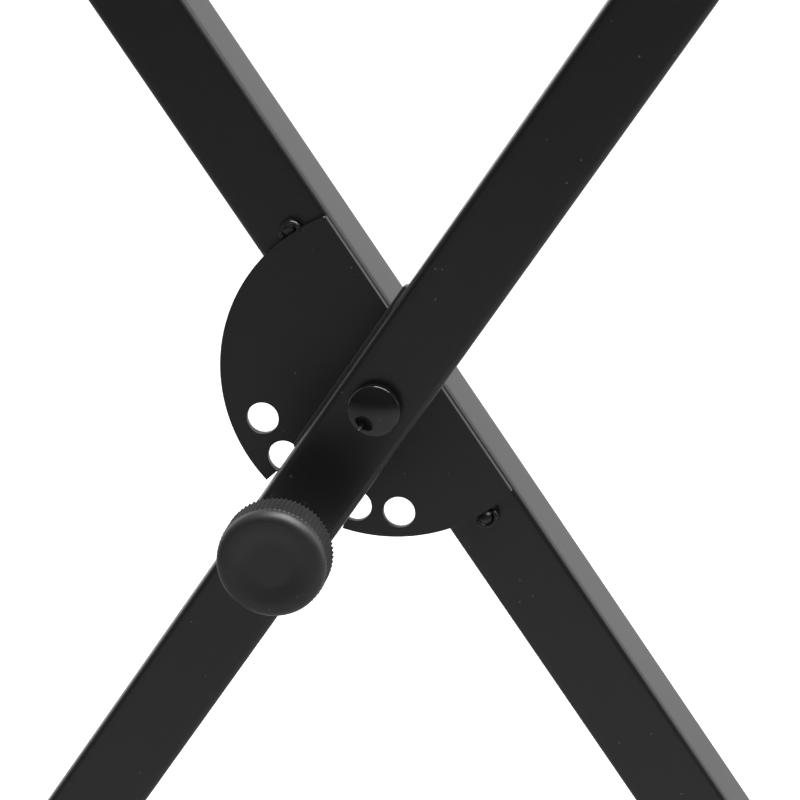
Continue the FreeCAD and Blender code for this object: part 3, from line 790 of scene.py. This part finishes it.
# %% [markdown]
# ## Rubber caps and sleeves
# The feet are round caps on square bars, and the arms carry round sleeves and small square
# caps. A cylinder with a square cut out of it would need a Boolean. Each is one grid instead:
# some rows draw the square bore and some the outside. Where a cap meets the floor, or a
# keyboard meets a sleeve, the height is clipped, which gives the level tread.


# %% Rubber grid
def rubber(name, profile, matrix, outer_half, outer_corner, low=-np.inf, high=np.inf, ring=False):
    """A rubber block round a square bar.

    Each profile row is (grow, along, bore): bore 1 draws the bar's rounded square times
    grow, and bore 0 draws the outside shape with grow added to its radius.
    """
    angles = square_angles(half_side, tube_corner, flats=16)
    square = square_radius(angles, half_side, tube_corner)
    outside = square_radius(angles, outer_half, outer_corner)
    grow, along, bore = (profile[:, [column]] for column in range(3))
    radius = np.where(bore > 0, square * grow, outside + grow)
    grid = placed(round_z(np.maximum(radius, near_axis), along, angles), matrix)
    grid[..., 2] = np.clip(grid[..., 2], low, high)
    return skin(name, grid, ring, sharp=40.0)


def along_bar(leg, node, facing, reach):
    """A rubber's length on its bar, and its own frame: from its inner end outwards."""
    low, high = depths(node)
    inner = low if facing is face_back else high
    return high - low, to_stand[leg] @ shift(y=inner, z=reach) @ facing


# %% Rubber profiles
groove_depth = 1 * MM
groove_half = 1 * MM
groove_pitch = 12 * MM
groove_edge = 0.3 * MM
to_axis = -1.0


def grooved(length, low_edge, high_edge, first, last):
    """A profile along a rubber's outside: edge radii at its ends and round ring grooves."""
    corners = [(-low_edge, 0, 0), (0, 0, low_edge)]
    for middle in np.arange(first, last + groove_pitch / 100, groove_pitch):
        corners += [
            (0, middle - groove_half, groove_edge),
            (-groove_depth, middle - groove_half * 0.8, groove_edge),
            (-groove_depth, middle + groove_half * 0.8, groove_edge),
            (0, middle + groove_half, groove_edge),
        ]
    corners += [(0, length, high_edge), (-high_edge, length, 0)]
    return rounded(corners, 6)


def closed_rubber(outside, length, bar_end):
    """Start at the bore's bottom, come out along the bar, go round the outside and close."""
    bore = [(0.02, bar_end, 1), (1, bar_end, 1), (1, 0, 1)]
    around = [(grow, along, 0) for grow, along in outside]
    face = [(outside[-1][0] - step, length, 0) for step in np.array([3, 8, 16]) * MM]
    return np.array(bore + around + face + [(to_axis, length, 0)])


# %% Foot caps, arm caps and sleeves
round_outer = (half_side - tube_corner) * math.sqrt(2) + tube_corner + 2.7 * MM
square_outer = half_side + 2 * MM
for leg in to_stand:
    body = leg + "_frame"
    for side, facing in (("front", face_front), ("back", face_back)):
        foot = "_".join((leg, "foot_cap", side))
        length, place = along_bar(leg, foot, facing, -foot_reach)
        outside = grooved(length, 1.5 * MM, 4 * MM, 9 * MM, length - 10 * MM)
        piece = rubber(foot + "_rubber", closed_rubber(outside, length, length - 6 * MM), place,
                       round_outer, round_outer, low=floor_height)
        add(piece, body, "rubber", foot)

        cap = "_".join((leg, "arm_cap", side))
        length, place = along_bar(leg, cap, facing, arm_reach)
        outside = rounded([(-0.5 * MM, 0, 0), (0, 0, 0.5 * MM), (0, length, 1.5 * MM),
                           (-1.5 * MM, length, 0)], 6)
        piece = rubber(cap + "_rubber", closed_rubber(outside, length, length - 5 * MM), place,
                       square_outer, tube_corner + 2 * MM)
        add(piece, body, "rubber", cap)

        sleeve = "_".join((leg, "arm_sleeve", side))
        length, place = along_bar(leg, sleeve, facing, arm_reach)
        outside = grooved(length, 2 * MM, 2 * MM, 7 * MM, length - 6 * MM)
        rows = [(1, length, 1), (1, 0, 1)] + [(grow, at, 0) for grow, at in outside]
        piece = rubber(sleeve + "_rubber", np.array(rows), place, round_outer, round_outer,
                       high=rest_height, ring=True)
        add(piece, body, "rubber", sleeve)
print("pieces so far:", len(pieces))

# %% [markdown]
# ## Weld beads
# A weld is a row of frozen puddles. It could be sculpted, but that can't be repeated exactly.
# A bead here is a tube swept along a path, whose radius swells and shrinks once for each
# puddle. The disc's two welds are a lump with a smooth curl of metal over it.


# %% Bead along a path
def bead(path, radius, ripple=0.0, pitch=MM):
    """A tube along a path with round ends: radius times (1 + ripple times cos of the distance)."""
    path = np.array(path, float)
    step = np.linalg.norm(np.diff(path, axis=0), axis=1)
    travel = np.concatenate([[0], np.cumsum(step)])
    tangent = np.gradient(path, axis=0)
    tangent /= np.linalg.norm(tangent, axis=1)[:, None]
    side = np.cross(tangent, [0.0, 1.0, 0.0])
    side /= np.linalg.norm(side, axis=1)[:, None]
    over = np.cross(side, tangent)
    from_end = np.minimum(travel, travel[-1] - travel) / radius
    taper = np.sqrt(np.clip(1 - (1 - np.clip(from_end, 0, 1)) ** 2, 0.01, 1))
    size = radius * taper * (1 + ripple * np.cos(2 * PI * travel / pitch))
    angles = full_turn(20)[None, :, None]
    return path[:, None] + size[:, None, None] * (
        np.cos(angles) * side[:, None] + np.sin(angles) * over[:, None])


def on_rear_leg(points, depth):
    """Points across and along the rear leg, carried to the stand at one depth."""
    across, along = np.array(points).T
    return placed(np.column_stack([across, 0 * across + depth, along]), to_stand["rear"])


def ellipse(centre, radii, start, end, steps=40):
    """Points on an ellipse's arc, from one angle to another, in degrees."""
    angles = np.radians(np.linspace(start, end, steps))
    across = centre[0] + radii[0] * np.cos(angles)
    return np.column_stack([across, centre[1] + radii[1] * np.sin(angles)])


# %% Disc welds: each one's place round the disc, then its curl's middle, radii and two ends
bead_circle = disc_radius + 2.2 * MM
lump_radius = 3 * MM
lump_half = 3
curl_radius = 0.9 * MM
curls = {
    "upper": (180, (0.1 * MM, 66.2 * MM), (3.5 * MM, 2.7 * MM), -48, 205),
    "lower": (0, (0.6 * MM, -62.3 * MM), (3.6 * MM, 3.2 * MM), 165, 375),
}
for name, (down, centre, radii, start, end) in curls.items():
    foot_line = disc_arc(bead_circle, down - lump_half, down + lump_half, 40)
    curl_line = ellipse(centre, radii, start, end)
    lump = bead(on_rear_leg(foot_line, disc_back - 1 * MM), lump_radius)
    curl = bead(on_rear_leg(curl_line, disc_front + 0.2 * MM), curl_radius, 0.05, 2.6 * MM)
    for part, grid in (("lump", lump), ("curl", curl)):
        piece = skin("_".join(("disc_weld", name, part)), grid)
        add(piece, "rear_frame", "coated_steel", "disc_weld_beads")
tack_ends = [(disc_chord - 1.6 * MM, 63.4 * MM), (disc_chord - 0.2 * MM, 62.9 * MM)]
tack_line = np.linspace(*on_rear_leg(tack_ends, disc_front + 0.5 * MM), 12)
add(skin("disc_weld_tack", bead(tack_line, 0.8 * MM)), "rear_frame", "coated_steel")
print("disc welds:", len([name for name in pieces if name.startswith("disc_weld")]))

# %% Plate welds
plate_bead = 2.3 * MM
puddle_pitch = 1.7 * MM
half_bead = half_side - tube_corner
across_tube = np.linspace(-half_bead, half_bead, 90)[:, None] * [1, 0, 0]
for leg, end, reach, upright in leg_ends:
    for number, side in enumerate((-1, 1)):
        corner = upright @ shift(y=leg_middle[leg] + side * half_side, z=reach - tube_end)
        grid = bead(placed(across_tube, corner), plate_bead, 0.07, puddle_pitch)
        piece = skin("_".join((leg, end, "weld", str(number))), grid)
        add(piece, leg + "_frame", "coated_steel", leg + "_weld_beads")
print("pieces in all:", len(pieces))

# %% [markdown]
# ## Finishes
# A material is a small sum: base colour, roughness and bump each come from a few noises.
# Plain node code hides that sum in links, so one small class wraps a socket and lets
# ordinary arithmetic add the Math nodes.


# %% Shader arithmetic
class Signal:
    """One output in a node tree. Arithmetic on it adds the node that does it."""

    def __init__(self, owner, socket):
        self.owner = owner
        self.socket = socket

    def work(self, operation, first, second):
        return self.owner.node("Math", {"operation": operation}, {0: first, 1: second})

    def __add__(self, other):
        return self.work("ADD", self, other)

    def __radd__(self, other):
        return self.work("ADD", other, self)

    def __sub__(self, other):
        return self.work("SUBTRACT", self, other)

    def __rsub__(self, other):
        return self.work("SUBTRACT", other, self)

    def __mul__(self, other):
        return self.work("MULTIPLY", self, other)

    def __rmul__(self, other):
        return self.work("MULTIPLY", other, self)

    def __lt__(self, other):
        return self.work("LESS_THAN", self, other)

    def __gt__(self, other):
        return self.work("GREATER_THAN", self, other)


# %% Nodes of a material or of the world
class Nodes:
    """A node tree and its texture coordinates, emptied and ready for new nodes."""

    def __init__(self, owner, coordinates):
        owner.use_nodes = True
        self.owner = owner
        self.tree = owner.node_tree
        self.tree.nodes.clear()
        self.place = self.node("TexCoord", output=coordinates)

    def node(self, kind, settings=None, inputs=None, output=0):
        """Add one node: settings first, then the values or links of its sockets."""
        made = self.tree.nodes.new("ShaderNode" + kind)
        for key, value in (settings or {}).items():
            setattr(made, key, value)
        for key, value in (inputs or {}).items():
            if isinstance(value, Signal):
                self.tree.links.new(value.socket, made.inputs[key])
            else:
                made.inputs[key].default_value = value
        return Signal(self, made.outputs[output])

    def close(self, kind, shader):
        """Lead the last shader to the tree's output."""
        made = self.tree.nodes.new("ShaderNodeOutput" + kind)
        self.tree.links.new(shader.socket, made.inputs["Surface"])


def colour(value):
    """A grey level or a colour as four numbers, and a signal as it is."""
    if isinstance(value, Signal):
        return value
    if isinstance(value, float):
        return (value, value, value, 1)
    return (*value, 1)


# %% What every finish is mixed from
class Finish(Nodes):
    """A material and the patterns that it is mixed from."""

    def __init__(self, name):
        super().__init__(bpy.data.materials.new(name), "Object")

    def noise(self, scale, detail=3.0, rough=0.5, place=None):
        """Smooth noise from 0 to 1, scale lumps to a metre."""
        return self.node("TexNoise", None, {
            "Vector": place or self.place, "Scale": scale, "Detail": detail, "Roughness": rough,
        }, "Fac")

    def spots(self, scale, size, share):
        """A mask of small round spots: cells of 1 / scale, of which a share holds a spot."""
        cell = {"Vector": self.place, "Scale": scale}
        near = self.node("TexVoronoi", None, cell, "Distance") < size
        tint = self.node("TexVoronoi", None, cell, "Color")
        return near * (self.node("SeparateColor", None, {0: tint}) < share)

    def blend(self, factor, first, second):
        """A colour between two, by a factor."""
        settings = {"data_type": "RGBA", "clamp_factor": True}
        return self.node("Mix", settings, {0: factor, 6: colour(first), 7: colour(second)}, 2)

    def bump(self, height, strength, distance):
        sockets = {"Height": height, "Strength": strength, "Distance": distance}
        return self.node("Bump", None, sockets)

    def surface(self, **sockets):
        """The principled shader, named sockets with _ for a space, led to the output."""
        named = {key.replace("_", " "): value for key, value in sockets.items()}
        self.close("Material", self.node("BsdfPrincipled", None, named))
        return self.owner


finishes = {}

# %% [markdown]
# ### Black coat on steel
# Satin black with the faint orange peel of a baked coat. A plain black would do from afar,
# but a little dust sits on this one, which is what stops a black part from looking like a
# hole in the picture.

# %% Coated steel
dust_grey = (0.16, 0.16, 0.155)
coat_level = 0.0045
coat = Finish("coated_steel")
cloud = coat.noise(9.0, detail=4.0)
peel = coat.noise(900.0, detail=2.0)
fine = coat.noise(3500.0, detail=2.0)
dust = coat.spots(420.0, size=0.15, share=0.02)
base = coat.blend(cloud, coat_level * 0.9, coat_level * 1.25)
finishes["coated_steel"] = coat.surface(
    Base_Color=coat.blend(dust * 0.5, base, dust_grey),
    Roughness=0.34 + 0.1 * (cloud - 0.5) + 0.06 * (fine - 0.5) + 0.25 * dust,
    Normal=coat.bump(peel + 0.25 * fine, strength=0.12, distance=0.05 * MM),
)

# %% [markdown]
# ### Gloss black
# The bolt's head is the one mirror-like piece. Its roughness could be one low number, but a
# slow cloud in it breaks the lamp's reflection a little, as on real paint.

# %% Gloss black
gloss = Finish("gloss_black")
cloud = gloss.noise(60.0, detail=4.0)
dust = gloss.spots(700.0, size=0.14, share=0.02)
finishes["gloss_black"] = gloss.surface(
    Base_Color=gloss.blend(dust * 0.6, gloss.blend(cloud, 0.005, 0.008), 0.2),
    Roughness=0.07 + 0.06 * cloud + 0.3 * dust,
    Normal=gloss.bump(gloss.noise(500.0, detail=2.0), strength=0.05, distance=0.02 * MM),
)

# %% [markdown]
# ### Black zinc and bare steel
# Screws, washers and nuts are plated black, and the pin is turned and left bright. Both are
# metals, so their colour is their reflection. The pin's noise is squeezed along its axis,
# which draws it out into the fine rings that a lathe leaves.

# %% Black zinc
zinc = Finish("zinc_black")
cloud = zinc.noise(120.0, detail=5.0)
finishes["zinc_black"] = zinc.surface(
    Base_Color=zinc.blend(cloud, (0.03, 0.03, 0.032), (0.06, 0.06, 0.065)),
    Metallic=0.75,
    Roughness=0.32 + 0.2 * cloud,
    Normal=zinc.bump(zinc.noise(2500.0), strength=0.15, distance=0.03 * MM),
)

# %% Bare steel
steel = Finish("bare_steel")
squeeze = (1.0, 14.0, 1.0)
squeezed = steel.node("Mapping", None, {"Vector": steel.place, "Scale": squeeze})
rings = steel.noise(500.0, detail=4.0, rough=0.6, place=squeezed)
finishes["bare_steel"] = steel.surface(
    Base_Color=steel.blend(steel.noise(80.0), (0.42, 0.42, 0.42), (0.58, 0.58, 0.57)),
    Metallic=1.0,
    Roughness=0.22 + 0.2 * rings,
    Normal=steel.bump(rings, strength=0.15, distance=0.02 * MM),
)

# %% [markdown]
# ### Plastics, rubber and brass
# The knob's plastic has a fine moulded grain, the nylon is smoother, and the rubber is matt
# and gathers dust. A photograph of each could be wrapped round it, but noise has no seams
# and follows the piece at any size. The brass is the knob's insert, seen only from behind.

# %% Knob plastic
plastic = Finish("knob_plastic")
grain = plastic.noise(4200.0, detail=2.0)
cloud = plastic.noise(70.0, detail=4.0)
dust = plastic.spots(520.0, size=0.13, share=0.04)
finishes["knob_plastic"] = plastic.surface(
    Base_Color=plastic.blend(dust * 0.5, plastic.blend(cloud, 0.012, 0.016), 0.16),
    Roughness=0.44 + 0.1 * (cloud - 0.5) + 0.1 * dust,
    Normal=plastic.bump(grain, strength=0.3, distance=0.05 * MM),
)

# %% Nylon
soft = Finish("nylon")
cloud = soft.noise(90.0)
finishes["nylon"] = soft.surface(
    Base_Color=soft.blend(cloud, 0.016, 0.024),
    Roughness=0.26 + 0.12 * cloud,
    Normal=soft.bump(soft.noise(1800.0, detail=2.0), strength=0.15, distance=0.04 * MM),
)

# %% Rubber
gum = Finish("rubber")
cloud = gum.noise(45.0, detail=5.0)
grain = gum.noise(2600.0)
dust = gum.spots(380.0, size=0.18, share=0.06)
base = gum.blend(cloud, 0.014, 0.024)
finishes["rubber"] = gum.surface(
    Base_Color=gum.blend(dust * 0.4 + 0.1 * cloud, base, (0.1, 0.098, 0.09)),
    Roughness=0.72 + 0.14 * cloud,
    Normal=gum.bump(grain + 0.5 * cloud, strength=0.35, distance=0.08 * MM),
)

# %% Brass
metal = Finish("brass")
cloud = metal.noise(150.0, detail=4.0)
finishes["brass"] = metal.surface(
    Base_Color=metal.blend(cloud, (0.62, 0.42, 0.14), (0.75, 0.55, 0.22)),
    Metallic=1.0,
    Roughness=0.25 + 0.2 * cloud,
    Normal=metal.bump(metal.noise(2000.0), strength=0.1, distance=0.02 * MM),
)

# %% Put the finishes on
for name, slot in pieces.items():
    bpy.data.objects[name].data.materials.append(finishes[slot])
for row in frame["record"]["subparts"]:
    solid = frame["nodes"][row["node"]]
    solid.data.materials.clear()
    solid.data.materials.append(finishes[row["material_slot"]])
print("finishes:", len(finishes), "on", len(pieces), "new pieces")

# %% [markdown]
# ## Studio
# The photograph has a pure white ground. A white floor would light the stand from below and
# turn its black coat grey. So the floor is grey paper that gives off light to the camera's own
# rays alone, and to mirrored rays only far behind the stand. The front faces then mirror
# dark paper, and the sides, seen at a slant, mirror the bright paper behind.

# %% Floor
floor_half = 40.0
corners = np.array([(-1, -1, 0), (1, -1, 0), (1, 1, 0), (-1, 1, 0)]) * floor_half
floor_mesh = bpy.data.meshes.new("floor")
floor_mesh.from_pydata((corners + [0, 0, floor_height]).tolist(), [], [(0, 1, 2, 3)])
floor = bpy.data.objects.new("floor", floor_mesh)
scene.collection.objects.link(floor)

paper = Finish("floor_paper")
seen = paper.node("LightPath", output="Is Camera Ray")
glossy = paper.node("LightPath", output="Is Glossy Ray")
through = paper.node("LightPath", output="Is Transmission Ray")
depth = paper.node("SeparateXYZ", None, {0: paper.place}, "Y")
far_behind = paper.node("MapRange", None, {
    "Value": depth, "From Min": 0.4, "From Max": 2.5, "To Min": 0.0, "To Max": 0.7})
floor_mesh.materials.append(paper.surface(
    Base_Color=paper.blend(paper.noise(3.0), 0.31, 0.34),
    Roughness=0.8,
    Emission_Color=paper.blend(seen + (glossy + through) * far_behind, 0.0, 1.0),
    Emission_Strength=1.0,
))

# %% [markdown]
# ## World and lamps
# The world is white to the camera. For all other rays it is dim in front of the stand and
# bright behind it, so that the coat stays black and its rims catch light. One broad lamp
# overhead makes the soft light on the brow and on the bolt's head, and two weak ones at the
# sides keep the edges apart from the ground. A picture of a studio could light it too, but
# lamps can be set one at a time.

# %% World
studio = bpy.data.worlds.new("studio")
scene.world = studio
sky = Nodes(studio, "Generated")
back = sky.node("SeparateXYZ", None, {0: sky.place}, "Y")
behind = sky.node("MapRange", None, {
    "Value": back, "From Min": -0.6, "From Max": 0.8, "To Min": 0.08, "To Max": 1.0})
seen = sky.node("LightPath", output="Is Camera Ray")
strength = sky.node("Math", {"operation": "MAXIMUM"}, {0: seen, 1: behind})
sky.close("World", sky.node("Background", None, {"Color": (1, 1, 1, 1), "Strength": strength}))


# %% Lamps
def lamp(name, place, aim, size, power):
    """A rectangular lamp at a place, turned so that its face looks at its aim."""
    data = bpy.data.lights.new(name, "AREA")
    data.shape = "RECTANGLE"
    data.size, data.size_y = size
    data.energy = power
    holder = bpy.data.objects.new(name, data)
    scene.collection.objects.link(holder)
    look = (Vector(aim) - Vector(place)).to_track_quat("-Z", "Y")
    holder.matrix_world = Matrix.Translation(place) @ look.to_matrix().to_4x4()


lamp("overhead", place=(0.6, -0.1, 2.3), aim=(0, 0, 0.4), size=(2.2, 1.7), power=120.0)
lamp("right", place=(2.0, 0.6, 1.3), aim=(0, 0, 0.45), size=(1.2, 1.6), power=12.0)
lamp("left_rim", place=(-1.6, 1.1, 0.9), aim=(0, 0, 0.4), size=(0.8, 1.4), power=3.0)
scene.view_settings.view_transform = "Standard"
print("lamps:", len(bpy.data.lights))
